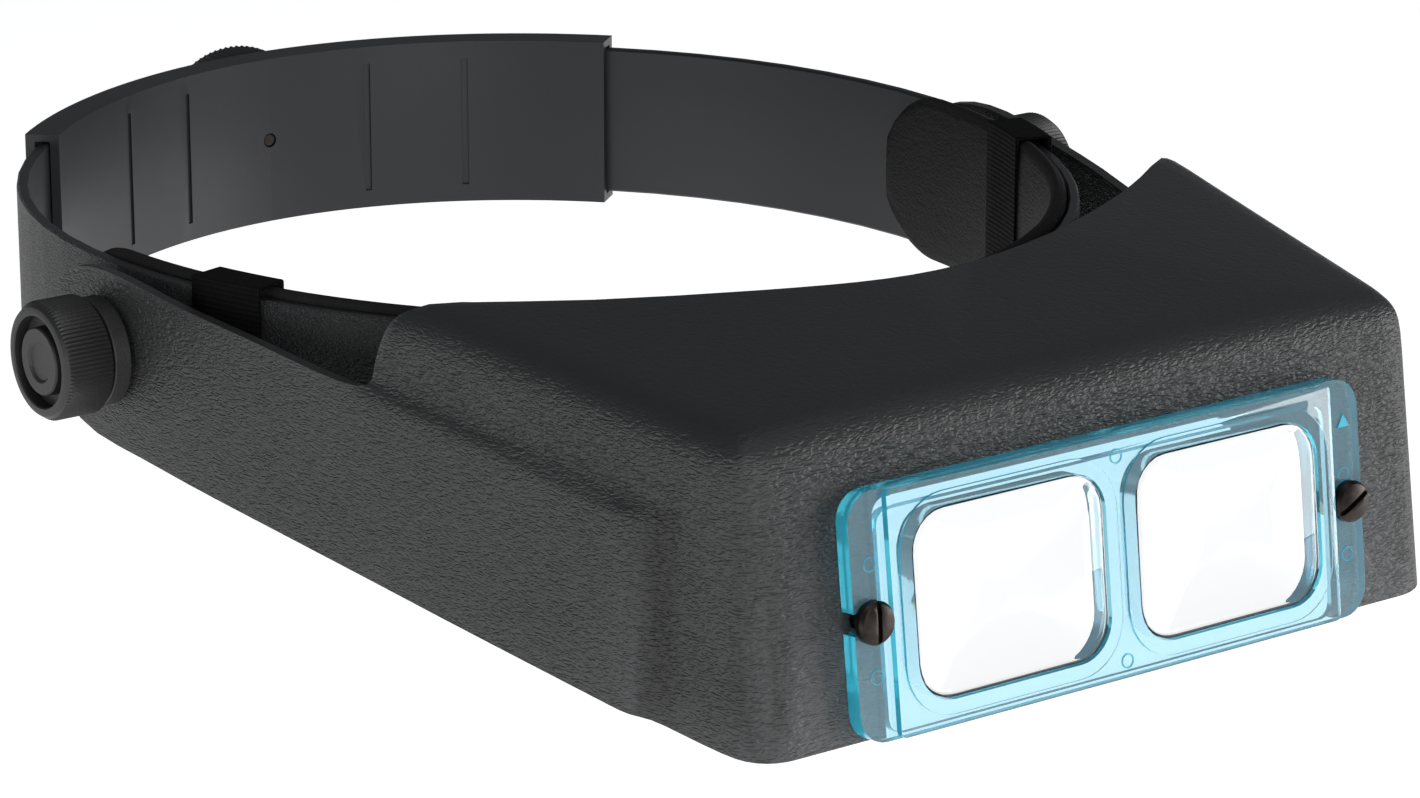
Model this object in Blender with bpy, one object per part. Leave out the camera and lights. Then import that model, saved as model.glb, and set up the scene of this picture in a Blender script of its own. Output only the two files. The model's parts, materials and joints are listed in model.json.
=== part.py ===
# Head visor magnifier: a visor shell with a lens plate, hung on an adjustable headband.
# Metres, +Z up. The wearer looks along -Y. The origin is the middle of the headband.
import bpy
import bmesh
import math
from mathutils import Matrix, Vector

MM = 0.001
GAP = 0.3 * MM              # clearance kept between touching pieces

# Headband: an upright strap on an ellipse, open at the back inside the channel
BAND_HALF_WIDTH = 92.2 * MM
BAND_HALF_LENGTH = 105.0 * MM
BAND_HEIGHT = 29.3 * MM
BAND_WALL = 2.0 * MM
BAND_TAIL_GAP = 9.0 * MM    # half the space left between the two strap tails
FLAT_BACK = 5.5 * MM        # how much flatter the springy strap sits at the back left
FLAT_BACK_ANGLE = 210.0
FLAT_BACK_SPREAD = 39.0
DROOP = 1.0 * MM             # how far the back of the strap hangs below the front

# Rear channel that the tails slide in, and its clamp
CHANNEL_HEIGHT = 32.9 * MM
CHANNEL_WALL = 1.8 * MM
CHANNEL_DEPTH = 6.4 * MM
CHANNEL_START = 132.9       # degrees round from the front
CHANNEL_END = 224.6
CHANNEL_LIP = 5.0 * MM
CHANNEL_RIBS = (14.0, 26.5)  # degrees each side of the clamp
CLAMP_BOLT_RADIUS = 1.1 * MM
CLAMP_ANGLE = 176.5         # where the clamp sits, degrees round from the front

# Sweatband and the two loops that keep it on the strap
SWEAT_HEIGHT = 32.0 * MM
SWEAT_THICK = 3.0 * MM
SWEAT_END = 95.0            # degrees round from the front to each rounded end
KEEPER_ANGLE = 70.0
KEEPER_WIDTH = 13.0 * MM
KEEPER_THICK = 0.6 * MM

# Pivot that the visor tilts on, and its knobs
PIVOT_Y = -12.0 * MM
PIVOT_Z = 1.0 * MM
BOLT_RADIUS = 2.5 * MM
BOLT_HEAD_RADIUS = 4.4 * MM
BOLT_HEAD_LENGTH = 0.65 * MM
FRICTION_LENGTH = 0.9 * MM
BOSS_RADIUS = 8.0 * MM
BOSS_FACE_X = 93.5 * MM
BOSS_LENGTH = 2.4 * MM
HEAD_SEAT = 1.6 * MM        # depth of the seat for the bolt's head
KNOB_RADIUS = 10.3 * MM
KNOB_LENGTH = 9.4 * MM
KNOB_WASHER = 3.3 * MM
KNOB_RIDGES = 36
REAR_KNOB_RADIUS = 16.0 * MM
KNURL_DEPTH = 0.45 * MM

# Visor shell
SHELL_WALL = 2.0 * MM
SHELL_ROUND = 6.0 * MM      # how far back from each edge the rounding starts
PANEL_STEP = 2.0 * MM       # how far the arm panels stand out from the hood
ARM_FLAT_X = 97.3 * MM      # outer face of an arm at the pivot
ARM_BEND = 1.0 * MM         # how softly the splayed panel turns flat
ARM_END_RADIUS = 16.0 * MM
HOOD_REAR_Y = -77.0 * MM
FRONT_TILT = math.radians(7.0)
FRONT_Y = -158.8 * MM       # front wall at the height of the plate's middle
LEDGE_END_Y = -138.0 * MM   # the proud panel stops here
LEDGE_HALF = 0.8 * MM       # half the height of the ledge's slope
RIM_HEIGHT = 22.5 * MM      # rear rim of the hood's roof
HOLE_RADIUS = 3.1 * MM

# Lens plate and lenses
PLATE_MID_Z = -15.4 * MM
PLATE_WIDTH = 106.6 * MM
PLATE_HEIGHT = 40.2 * MM
PLATE_LIFT = 0.5 * MM       # how far the plate's middle is above its screws
PLATE_THICK = 3.0 * MM
PLATE_CORNER = 5.0 * MM
BODY_WIDTH = 92.8 * MM      # raised middle of the plate
BODY_RAISE = 1.2 * MM
SCREW_SPACING = 100.0 * MM
SCREW_RADIUS = 1.4 * MM
SCREW_HEAD_RADIUS = 3.5 * MM
SCREW_HEAD_LENGTH = 2.0 * MM
NUT_RADIUS = 3.15 * MM
LENS_WIDTH = 38.8 * MM
LENS_HEIGHT = 30.4 * MM
LENS_CORNER = 6.5 * MM
LENS_MID_X = 22.8 * MM
LENS_THICK = 4.0 * MM
LENS_CROWN = 0.9 * MM
LENS_DEPTH = -0.3 * MM      # middle of a lens, behind the plate's front face
LENS_LIFT = 0.4 * MM
RIM_WIDTH = 2.7 * MM
RIM_RAISE = 0.5 * MM
WINDOW_WIDTH = 94.0 * MM
WINDOW_TOP_Z = 3.2 * MM

MATERIALS = {
    "band_plastic": ((0.045, 0.047, 0.052), 0.55, 0.0),
    "shell_plastic": ((0.030, 0.031, 0.034), 0.50, 0.0),
    "knob_plastic": ((0.020, 0.020, 0.022), 0.45, 0.0),
    "leather": ((0.025, 0.024, 0.026), 0.60, 0.0),
    "elastic": ((0.012, 0.012, 0.013), 0.80, 0.0),
    "clear_cyan": ((0.35, 0.80, 0.92), 0.08, 0.0),
    "glass": ((0.92, 0.95, 0.97), 0.03, 0.0),
    "dark_bronze": ((0.060, 0.048, 0.042), 0.35, 0.9),
    "brass": ((0.62, 0.47, 0.22), 0.35, 1.0),
    "steel": ((0.45, 0.45, 0.46), 0.35, 1.0),
    "fibre": ((0.10, 0.06, 0.04), 0.80, 0.0),
}


def material(name):
    found = bpy.data.materials.get(name)
    if found:
        return found
    colour, roughness, metallic = MATERIALS[name]
    made = bpy.data.materials.new(name)
    made.use_nodes = True
    shader = made.node_tree.nodes["Principled BSDF"]
    shader.inputs["Base Color"].default_value = (*colour, 1.0)
    shader.inputs["Roughness"].default_value = roughness
    shader.inputs["Metallic"].default_value = metallic
    return made


def add(name, bm, finish, smooth=False):
    """Makes an object from a bmesh, with its faces turned outwards."""
    bmesh.ops.remove_doubles(bm, verts=bm.verts, dist=0.00001)
    bmesh.ops.recalc_face_normals(bm, faces=bm.faces)
    mesh = bpy.data.meshes.new(name)
    bm.to_mesh(mesh)
    bm.free()
    for face in mesh.polygons:
        face.use_smooth = smooth
    mesh.materials.append(material(finish))
    made = bpy.data.objects.new(name, mesh)
    bpy.context.scene.collection.objects.link(made)
    return made


def loft(bm, rings, closed=False):
    """Joins rings of points with faces. Open lofts are capped at both ends."""
    loops = [[bm.verts.new(p) for p in ring] for ring in rings]
    count = len(loops[0])
    pairs = list(zip(loops, loops[1:]))
    if closed:
        pairs.append((loops[-1], loops[0]))
    for low, high in pairs:
        for i in range(count):
            j = (i + 1) % count
            bm.faces.new((low[i], low[j], high[j], high[i]))
    if not closed:
        bm.faces.new(loops[0])
        bm.faces.new(loops[-1])


def bake(target):
    """Replaces an object's mesh with what its modifiers make of it."""
    graph = bpy.context.evaluated_depsgraph_get()
    result = bpy.data.meshes.new_from_object(target.evaluated_get(graph))
    target.modifiers.clear()
    target.data = result


def cut(target, tool, operation="DIFFERENCE"):
    """Applies one Boolean to an object's mesh and removes the tool."""
    modifier = target.modifiers.new("cut", "BOOLEAN")
    modifier.operation = operation
    modifier.object = tool
    bake(target)
    bpy.data.objects.remove(tool)


def cylinder(name, radius, start, end, segments=32):
    """A plain cylinder from one point to another, used as a cutter or a boss."""
    start, end = Vector(start), Vector(end)
    turn = (end - start).to_track_quat("Z", "Y").to_matrix().to_4x4()
    bm = bmesh.new()
    bmesh.ops.create_cone(bm, cap_ends=True, segments=segments, radius1=radius, radius2=radius,
                          depth=(end - start).length, matrix=Matrix.Translation((start + end) / 2) @ turn)
    return add(name, bm, "steel")


def circle(place, radius, height, segments, ridge=0.0):
    """A ring of points round a place's Z axis. Every second point is sunk by the ridge depth."""
    points = []
    for i in range(segments):
        angle = 2 * math.pi * i / segments
        r = radius - ridge * (i % 2)
        points.append(place @ Vector((r * math.cos(angle), r * math.sin(angle), height)))
    return points


def washer(name, place, inner, outer, length, finish, segments=32):
    """A ring with softened outer edges, from height 0 along a place's Z axis."""
    edge = 0.2 * MM
    profile = [(inner, 0), (outer - edge, 0), (outer, edge), (outer, length - edge),
               (outer - edge, length), (inner, length)]
    bm = bmesh.new()
    loft(bm, [circle(place, r, h, segments) for r, h in profile], closed=True)
    return add(name, bm, finish)


def on_band(angle, out, z):
    """A point on the headband, angle in degrees round from the front towards +X."""
    t = math.radians(angle)
    away = (angle % 360 - FLAT_BACK_ANGLE) / FLAT_BACK_SPREAD
    out -= FLAT_BACK * math.exp(-away ** 2)
    behind = max(0.0, -math.cos(t))
    point = Vector((BAND_HALF_WIDTH * math.sin(t), -BAND_HALF_LENGTH * math.cos(t), -DROOP * behind ** 2))
    normal = Vector((math.sin(t) / BAND_HALF_WIDTH, -math.cos(t) / BAND_HALF_LENGTH, 0)).normalized()
    return point + normal * out + Vector((0, 0, z))


def spaced(start, end, count):
    return [start + (end - start) * i / (count - 1) for i in range(count)]


def swept(name, section, start, end, count, finish):
    """Sweeps a section of (out, z) points round the headband's ellipse."""
    bm = bmesh.new()
    loft(bm, [[on_band(a, out, z) for out, z in section] for a in spaced(start, end, count)])
    return add(name, bm, finish)


def box_section(inner, outer, half_height, soft=0.0):
    if not soft:
        return [(inner, -half_height), (outer, -half_height), (outer, half_height), (inner, half_height)]
    return [(inner + soft, -half_height), (outer - soft, -half_height), (outer, -half_height + soft),
            (outer, half_height - soft), (outer - soft, half_height), (inner + soft, half_height),
            (inner, half_height - soft), (inner, -half_height + soft)]


def on_pivot(name, radius, start_x, end_x):
    """A cylinder on the pivot's axis."""
    return cylinder(name, radius, (start_x, PIVOT_Y, PIVOT_Z), (end_x, PIVOT_Y, PIVOT_Z))


def make_headband():
    gap_angle = math.degrees(BAND_TAIL_GAP / BAND_HALF_WIDTH)
    tail_right = CLAMP_ANGLE - gap_angle
    tail_left = CLAMP_ANGLE + gap_angle - 360
    section = box_section(-BAND_WALL / 2, BAND_WALL / 2, BAND_HEIGHT / 2, 0.4 * MM)
    band = swept("headband", section, tail_left, tail_right, 65, "band_plastic")
    for side in (-1, 1):
        face, seat = side * BOSS_FACE_X, side * (BOSS_FACE_X - HEAD_SEAT)
        cut(band, on_pivot("boss", BOSS_RADIUS, side * (BOSS_FACE_X - BOSS_LENGTH), face), "UNION")
        cut(band, on_pivot("seat", BOLT_HEAD_RADIUS + GAP, seat - side * 12 * MM, seat))
        cut(band, on_pivot("hole", BOLT_RADIUS + GAP, seat - side * 12 * MM, face + side * 5 * MM))


def make_rear_channel():
    half = CHANNEL_HEIGHT / 2
    back = -BAND_WALL / 2 - GAP - CHANNEL_WALL      # innermost face, towards the head
    front = back + CHANNEL_DEPTH
    wall = CHANNEL_WALL
    lower = [(back, -half), (front, -half), (front, -half + CHANNEL_LIP),
             (front - wall, -half + CHANNEL_LIP), (front - wall, -half + wall * 0.8),
             (back + wall, -half + wall * 0.8)]
    section = lower + [(out, -z) for out, z in reversed(lower)]
    channel = swept("rear_channel", section, CHANNEL_START, CHANNEL_END, 41, "band_plastic")
    for away in CHANNEL_RIBS:
        for side in (-1, 1):
            middle = CLAMP_ANGLE + side * away
            tall = CHANNEL_HEIGHT / 2 - 3.5 * MM
            groove = box_section(back - 1.0 * MM, back + 0.5 * MM, tall)
            cut(channel, swept("groove", groove, middle - 0.4, middle + 0.4, 2, "band_plastic"))
    cut(channel, cylinder("hole", CLAMP_BOLT_RADIUS + GAP, rear_axis(-12 * MM), rear_axis(3 * MM)))


def rear_axis(out):
    """A point on the rear clamp's axis, out metres outside the strap's middle line."""
    return on_band(CLAMP_ANGLE, out, 0)


def along_rear(out):
    """Places a turned piece on the rear clamp's axis, its Z pointing out of the back."""
    turn = (rear_axis(1.0) - rear_axis(0.0)).to_track_quat("Z", "Y").to_matrix().to_4x4()
    return Matrix.Translation(rear_axis(out)) @ turn


def along_x(side, x):
    """Places a turned piece on the pivot's axis, its Z pointing away from the head."""
    return (Matrix.Translation((side * x, PIVOT_Y, PIVOT_Z))
            @ Matrix.Rotation(side * math.radians(90), 4, "Y"))


def make_knob(name, place, radius, length, pocket_radius, pocket_depth):
    """A knurled knob: from its pocket's roof over the back and the rim to the dished middle."""
    edge = 0.6 * MM
    groove = length - 1.0 * MM
    hub = length - 0.2 * MM
    dish = length - 0.7 * MM
    profile = [(pocket_radius, pocket_depth, 0), (pocket_radius, 0, 0), (radius - edge, 0, 0),
               (radius, edge, KNURL_DEPTH), (radius, length - edge, KNURL_DEPTH), (radius - edge, length, 0),
               (radius * 0.79, length, 0), (radius * 0.77, groove, 0), (radius * 0.57, groove, 0),
               (radius * 0.55, hub, 0), (radius * 0.34, hub, 0), (radius * 0.30, dish, 0)]
    bm = bmesh.new()
    loft(bm, [circle(place, r, h, KNOB_RIDGES * 2, ridge) for r, h, ridge in profile])
    add(name, bm, "knob_plastic")


def make_bolt(name, place, head_radius, head_length, radius, length):
    """A bolt whose head starts at height 0 and whose shank runs to length."""
    profile = [(head_radius, 0), (head_radius, head_length), (radius, head_length),
               (radius, length - 0.5 * MM), (radius - 0.5 * MM, length)]
    bm = bmesh.new()
    loft(bm, [circle(place, r, h, 32) for r, h in profile])
    add(name, bm, "steel")


def make_rear_clamp():
    """Plate and spacer outside the strap's tails, and the bolt and knob that press them."""
    channel_in = -BAND_WALL / 2 - GAP - CHANNEL_WALL
    channel_out = channel_in + CHANNEL_DEPTH
    plate_in = BAND_WALL / 2 + GAP
    plate_out = plate_in + 1.6 * MM
    half = CHANNEL_HEIGHT / 2 - CHANNEL_LIP - 2 * GAP
    plate = swept("clamp_plate", box_section(plate_in, plate_out, half), CLAMP_ANGLE - 11,
                  CLAMP_ANGLE + 11, 9, "steel")
    cut(plate, cylinder("hole", CLAMP_BOLT_RADIUS + 2 * GAP, rear_axis(0), rear_axis(9 * MM)))
    make_bolt("rear_bolt", along_rear(channel_in + GAP), CLAMP_BOLT_RADIUS, 1.4 * MM,
              CLAMP_BOLT_RADIUS - 0.05 * MM, CHANNEL_DEPTH + 6.0 * MM)
    spacer_at = plate_out + GAP
    knob_at = channel_out + 1.3 * MM
    washer("rear_spacer", along_rear(spacer_at), CLAMP_BOLT_RADIUS + 2 * GAP, 7.0 * MM,
           knob_at - GAP - spacer_at, "knob_plastic")
    make_knob("rear_knob", along_rear(knob_at), REAR_KNOB_RADIUS, KNOB_LENGTH, 3.2 * MM, 6.0 * MM)
    washer("rear_knob_insert", along_rear(knob_at + 0.4 * MM), CLAMP_BOLT_RADIUS + 2 * GAP, 2.9 * MM,
           5.2 * MM, "brass", 24)


def make_sweatband():
    inner = -BAND_WALL / 2 - GAP - SWEAT_THICK
    outer = -BAND_WALL / 2 - GAP
    half = SWEAT_HEIGHT / 2
    radius_deg = math.degrees(half / BAND_HALF_LENGTH)
    bm = bmesh.new()
    rings = []
    ends = [1 - math.cos(math.radians(a)) for a in (12, 30, 50, 70, 90)]
    angles = ([-SWEAT_END + radius_deg * e for e in ends]
              + spaced(-SWEAT_END + radius_deg, SWEAT_END - radius_deg, 41)[1:-1]
              + [SWEAT_END - radius_deg * e for e in reversed(ends)])
    for angle in angles:
        inside = max(0.0, abs(angle) - (SWEAT_END - radius_deg)) / radius_deg
        tall = half * math.sqrt(max(0.0, 1 - inside ** 2))
        rings.append([on_band(angle, out, z) for out, z in box_section(inner, outer, tall, 0.7 * MM)])
    loft(bm, rings)
    add("sweatband", bm, "leather")


def make_keeper(name, side):
    """An elastic loop round the strap and the sweatband."""
    inner = -BAND_WALL / 2 - 2 * GAP - SWEAT_THICK
    outer = BAND_WALL / 2 + GAP
    half = SWEAT_HEIGHT / 2 + GAP
    inside = box_section(inner, outer, half)
    outside = box_section(inner - KEEPER_THICK, outer + KEEPER_THICK, half + KEEPER_THICK)
    spread = math.degrees(KEEPER_WIDTH / 2 / BAND_HALF_WIDTH)
    bm = bmesh.new()
    angles = [side * a for a in spaced(KEEPER_ANGLE - spread, KEEPER_ANGLE + spread, 5)]
    outer_loops = [[bm.verts.new(on_band(a, o, z)) for o, z in outside] for a in angles]
    inner_loops = [[bm.verts.new(on_band(a, o, z)) for o, z in inside] for a in angles]
    for loops in (outer_loops, inner_loops):
        for low, high in zip(loops, loops[1:]):
            for i in range(4):
                j = (i + 1) % 4
                bm.faces.new((low[i], low[j], high[j], high[i]))
    for k in (0, -1):
        for i in range(4):
            j = (i + 1) % 4
            bm.faces.new((outer_loops[k][i], outer_loops[k][j], inner_loops[k][j], inner_loops[k][i]))
    add(name, bm, "elastic")


def make_pivot(word, side):
    """Bolt, washers, knob and insert of one pivot, in order from the head outwards."""
    bolt_at = BOSS_FACE_X - HEAD_SEAT - GAP - BOLT_HEAD_LENGTH
    washer_at = ARM_FLAT_X + GAP
    knob_at = washer_at + KNOB_WASHER + GAP
    make_bolt("pivot_bolt_" + word, along_x(side, bolt_at), BOLT_HEAD_RADIUS, BOLT_HEAD_LENGTH,
              BOLT_RADIUS, knob_at + 5.8 * MM - bolt_at)
    washer("friction_washer_" + word, along_x(side, BOSS_FACE_X + GAP), BOLT_RADIUS + GAP, 7.5 * MM,
           FRICTION_LENGTH, "fibre")
    washer("knob_washer_" + word, along_x(side, washer_at), BOLT_RADIUS + GAP, 9.4 * MM,
           KNOB_WASHER, "knob_plastic", 40)
    make_knob("pivot_knob_" + word, along_x(side, knob_at), KNOB_RADIUS, KNOB_LENGTH, 4.0 * MM, 6.4 * MM)
    washer("knob_insert_" + word, along_x(side, knob_at + 0.4 * MM), BOLT_RADIUS + GAP, 3.7 * MM,
           5.4 * MM, "brass", 24)


# ---- the visor shell --------------------------------------------------------

def front_y(z):
    return FRONT_Y + math.tan(FRONT_TILT) * (z - PLATE_MID_Z)


def panel_x(y):
    """Outer face of the arm panel: splayed along the hood, flat round the pivot."""
    splayed = 74.3 * MM + 0.185 * (y + 150 * MM)
    return -ARM_BEND * math.log(math.exp(-splayed / ARM_BEND) + math.exp(-ARM_FLAT_X / ARM_BEND))


def side_x(y, z, step=0.0):
    """Side wall, which flares out a little towards its foot along the hood."""
    fade = min(1.0, max(0.0, (-45 * MM - y) / (55 * MM)))
    return panel_x(y) - step - 0.047 * (z + 8 * MM) * fade


def roof_z(x, y):
    """Roof of the hood: a middle facet falling to the front and two side facets."""
    middle = RIM_HEIGHT + 0.165 * (y + 113 * MM)
    side = RIM_HEIGHT - 0.073 * (abs(x) - 30 * MM) + 0.120 * (y + 113 * MM)
    return min(middle, side)


def rim_y(x):
    """Rear rim of the roof, hollowed to clear the forehead."""
    reach = min(abs(x) / (82 * MM), 1.0)
    return -116 * MM + 36 * MM * reach ** 1.9


def foot_z(y):
    return -12.8 * MM + 0.1417 * y


def ledge_z(y):
    """Height of the ledge between the proud arm panel and the hood above it."""
    if y > HOOD_REAR_Y:
        return 6.7 * MM + 0.168 * (y - HOOD_REAR_Y)
    return 8.5 * MM + 0.132 * (y - HOOD_REAR_Y)


def place_side(verts, vert, stations):
    """Side wall: rows are foot, middle, two below the ledge, two above it, and the roof edge."""
    last = len(stations) - 1
    for i, y in enumerate(stations):
        step = PANEL_STEP if y < LEDGE_END_Y else 0.0
        foot, ledge = foot_z(y), ledge_z(y)
        heights = [foot, foot + (ledge - foot) * 0.5, ledge - 3.0 * MM, ledge - LEDGE_HALF,
                   ledge + LEDGE_HALF, ledge + 3.0 * MM]
        for row, z in enumerate(heights):
            here = PANEL_STEP if row > 3 else step
            yy = front_y(z) if i == last else y
            vert(("side", i, row), (side_x(yy, z, here), yy, z))
        yy = front_y(12 * MM) if i == last else y
        x = side_x(yy, 16 * MM, PANEL_STEP)
        vert(("side", i, 6), (x, yy, roof_z(x, yy)))


def place_arm(vert):
    """Arm from the hood back to its round end. Returns the names of its columns."""
    shares = (0.0, 0.5, 0.86, 1.0)
    for i, y in enumerate((-66 * MM, -50 * MM, -34 * MM, -22 * MM)):
        foot, top = foot_z(y), ledge_z(y)
        for row, share in enumerate(shares):
            z = foot + (top - foot) * share
            vert(("arm", i, row), (side_x(y, z), y, z))
    # the end is an arc round the pivot, leaning with the arm
    lean = math.radians(9)
    middle_y, middle_z = PIVOT_Y + 1.0 * MM, PIVOT_Z - 0.5 * MM
    for i, (along, across) in enumerate(((0.1, 1.03), (0.70, 0.92), (1.07, 0.45))):
        for row, up in enumerate((-1, 0, 0.72, 1)):
            dy = along * ARM_END_RADIUS
            dz = up * across * ARM_END_RADIUS
            if i == 2 and row in (1, 2):
                dy = 1.12 * ARM_END_RADIUS
                dz *= 0.45
            y = middle_y + dy * math.cos(lean) - dz * math.sin(lean)
            z = middle_z + dy * math.sin(lean) + dz * math.cos(lean)
            vert(("end", i, row), (side_x(y, z), y, z))
    return [("arm", i) for i in range(4)] + [("end", i) for i in range(3)]


def shell_cage():
    """Half of the shell as flat patches, with its sharp edges rounded."""
    bm = bmesh.new()
    verts = {}

    def vert(key, point=None):
        if key not in verts:
            verts[key] = bm.verts.new(point)
        return verts[key]

    between = (-82, -96, -110, -124, -133, -136.8, -139.2, -145)
    stations = [HOOD_REAR_Y, *(y * MM for y in between), FRONT_Y]
    last = len(stations) - 1
    roof_row = 6
    place_side(verts, vert, stations)
    chain = [("side", 0)] + place_arm(vert)
    # front wall and roof: columns run from the side to the middle
    columns = [1.0, 0.89, 0.79, 0.52, 0.26, 0.0]
    rim_columns = [1.0, 0.68, 0.37, 0.24, 0.12, 0.0]
    crease = 2                              # this column follows the edge between the facets
    for c, share in enumerate(columns):
        for row in range(roof_row + 1):
            edge = verts[("side", last, row)].co
            if c == 0:
                verts[("front", c, row)] = verts[("side", last, row)]
                continue
            z = edge.z if row < roof_row else roof_z(edge.x * share, front_y(12 * MM))
            vert(("front", c, row), (edge.x * share, front_y(z), z))
    first = verts[("side", last, roof_row)].co.y
    lead = stations[last - 1] - first       # depth of the first row behind the front
    depth = stations[0] - first
    for c, share in enumerate(rim_columns):
        for i in range(last + 1):
            if c == 0:
                verts[("roof", c, i)] = verts[("side", i, roof_row)]
            elif i == last:
                verts[("roof", c, i)] = verts[("front", c, roof_row)]
            else:
                front_x = verts[("front", c, roof_row)].co.x
                rear_x = verts[("side", 0, roof_row)].co.x * share
                back = (stations[i] - first - lead) / (depth - lead)
                x = front_x + (rear_x - front_x) * (stations[i] - first) / depth
                y = first + lead + (rim_y(rear_x) - first - lead) * back
                vert(("roof", c, i), (x, y, roof_z(x, y)))

    def quads(name, across, up):
        for a in range(across):
            for b in range(up):
                keys = ((name, a, b), (name, a + 1, b), (name, a + 1, b + 1), (name, a, b + 1))
                bm.faces.new([verts[k] for k in keys])

    quads("side", last, roof_row)
    quads("front", len(columns) - 1, roof_row)
    quads("roof", len(columns) - 1, last)
    for (name_a, a), (name_b, b) in zip(chain, chain[1:]):
        for row in range(3):
            keys = ((name_a, a, row), (name_b, b, row), (name_b, b, row + 1), (name_a, a, row + 1))
            bm.faces.new([verts[k] for k in keys])
    folds = bm.edges.layers.float.new("crease_edge")
    for i in range(last):
        bm.edges.get((verts[("roof", crease, i)], verts[("roof", crease, i + 1)]))[folds] = 1.0
    bmesh.ops.recalc_face_normals(bm, faces=bm.faces)
    lines = ([("side", i, roof_row) for i in range(last + 1)],
             [("front", c, roof_row) for c in range(len(columns))],
             [("side", last, row) for row in range(roof_row + 1)])
    sharp = {bm.edges.get((verts[a], verts[b])) for line in lines for a, b in zip(line, line[1:])}
    bmesh.ops.bevel(bm, geom=list(sharp), offset=SHELL_ROUND, offset_type="OFFSET", affect="EDGES",
                    segments=3, profile=0.5, material=-1)
    crest = [v for v in bm.verts if v.is_boundary and v.co.z > 12 * MM and v.co.x > 72 * MM]
    for _ in range(2):
        bmesh.ops.smooth_vert(bm, verts=crest, factor=0.5, use_axis_x=True, use_axis_y=True, use_axis_z=True)
    return bm


def rounded_outline(width, height, radius, steps=6):
    points = []
    for corner, (sx, sy) in enumerate(((1, 1), (-1, 1), (-1, -1), (1, -1))):
        for i in range(steps + 1):
            angle = math.radians(90 * corner + 90 * i / steps)
            points.append((sx * (width / 2 - radius) + radius * math.cos(angle),
                           sy * (height / 2 - radius) + radius * math.sin(angle)))
    return points


PLATE_PLACE = (Matrix.Translation((0, front_y(PLATE_MID_Z) - (GAP + PLATE_THICK) / math.cos(FRONT_TILT),
                                   PLATE_MID_Z)) @ Matrix.Rotation(-FRONT_TILT, 4, "X"))


def slab(name, outline, front, back, middle=(0, 0), finish="clear_cyan"):
    """A plate piece: an outline across the plate's face, from front to back of it."""
    bm = bmesh.new()
    rings = [[PLATE_PLACE @ Vector((middle[0] + x, depth, middle[1] + z)) for x, z in outline]
             for depth in (front, back)]
    loft(bm, rings)
    return add(name, bm, finish)


def make_visor_shell():
    shell = add("visor_shell", shell_cage(), "shell_plastic", smooth=True)
    mirror = shell.modifiers.new("mirror", "MIRROR")
    mirror.merge_threshold = 0.0001
    smooth = shell.modifiers.new("smooth", "SUBSURF")
    smooth.levels = smooth.render_levels = 1
    wall = shell.modifiers.new("wall", "SOLIDIFY")
    wall.thickness = SHELL_WALL
    wall.offset = -1.0
    bake(shell)
    window = rounded_outline(WINDOW_WIDTH, 90 * MM, 3 * MM)
    top = WINDOW_TOP_Z - PLATE_MID_Z
    cut(shell, slab("window", window, -9 * MM, 14 * MM, (0, top - 45 * MM)))
    for side in (-1, 1):
        cut(shell, on_pivot("hole", HOLE_RADIUS, side * 90 * MM, side * 103 * MM))
        ends = [PLATE_PLACE @ Vector((side * SCREW_SPACING / 2, depth, 0)) for depth in (-5 * MM, 9 * MM)]
        cut(shell, cylinder("hole", SCREW_RADIUS + GAP, *ends))


# ---- the lens plate ---------------------------------------------------------

def make_lens_plate():
    middle = (0, PLATE_LIFT)
    outline = rounded_outline(PLATE_WIDTH, PLATE_HEIGHT, PLATE_CORNER)
    plate = slab("lens_plate", outline, 0, PLATE_THICK, middle)
    raised = rounded_outline(BODY_WIDTH, PLATE_HEIGHT - 0.4 * MM, 1.0 * MM, 3)
    cut(plate, slab("raised", raised, -BODY_RAISE, 1.0 * MM, middle), "UNION")
    behind = rounded_outline(WINDOW_WIDTH - 1.0 * MM, PLATE_HEIGHT - 4.4 * MM, 2.4 * MM, 3)
    cut(plate, slab("behind", behind, 2.0 * MM, PLATE_THICK + 1.8 * MM, (0, -1.3 * MM)), "UNION")
    for side in (-1, 1):
        middle = (side * LENS_MID_X, LENS_LIFT)
        rim = rounded_outline(LENS_WIDTH + 2 * RIM_WIDTH, LENS_HEIGHT + 2 * RIM_WIDTH,
                              LENS_CORNER + RIM_WIDTH, 8)
        cut(plate, slab("rim", rim, -BODY_RAISE - RIM_RAISE, 0.5 * MM, middle), "UNION")
    for side in (-1, 1):
        middle = (side * LENS_MID_X, LENS_LIFT)
        opening = rounded_outline(LENS_WIDTH + 2 * GAP, LENS_HEIGHT + 2 * GAP, LENS_CORNER + GAP, 8)
        cut(plate, slab("opening", opening, -9 * MM, 14 * MM, middle))
        slot_middle = side * (SCREW_SPACING / 2 + 4 * MM)
        slot = rounded_outline(8 * MM + 3.6 * MM, 3.6 * MM, 1.75 * MM, 5)
        cut(plate, slab("slot", slot, -9 * MM, 14 * MM, (slot_middle, 0)))


def make_lens(name, side):
    """A crowned lens: outlines shrinking towards the middle of each face."""
    shrink = [0.12, 0.35, 0.6, 0.8, 0.94, 1.0]
    half = LENS_THICK / 2
    rings = []
    for face in (-1, 1):
        levels = [(s, LENS_DEPTH + face * (half - LENS_CROWN * s * s)) for s in shrink]
        if face > 0:
            levels.reverse()
        for share, depth in levels:
            outline = rounded_outline(LENS_WIDTH * share, LENS_HEIGHT * share, LENS_CORNER * share)
            rings.append([PLATE_PLACE @ Vector((side * LENS_MID_X + x, depth, z + LENS_LIFT))
                          for x, z in outline])
    bm = bmesh.new()
    loft(bm, rings)
    add(name, bm, "glass")


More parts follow.
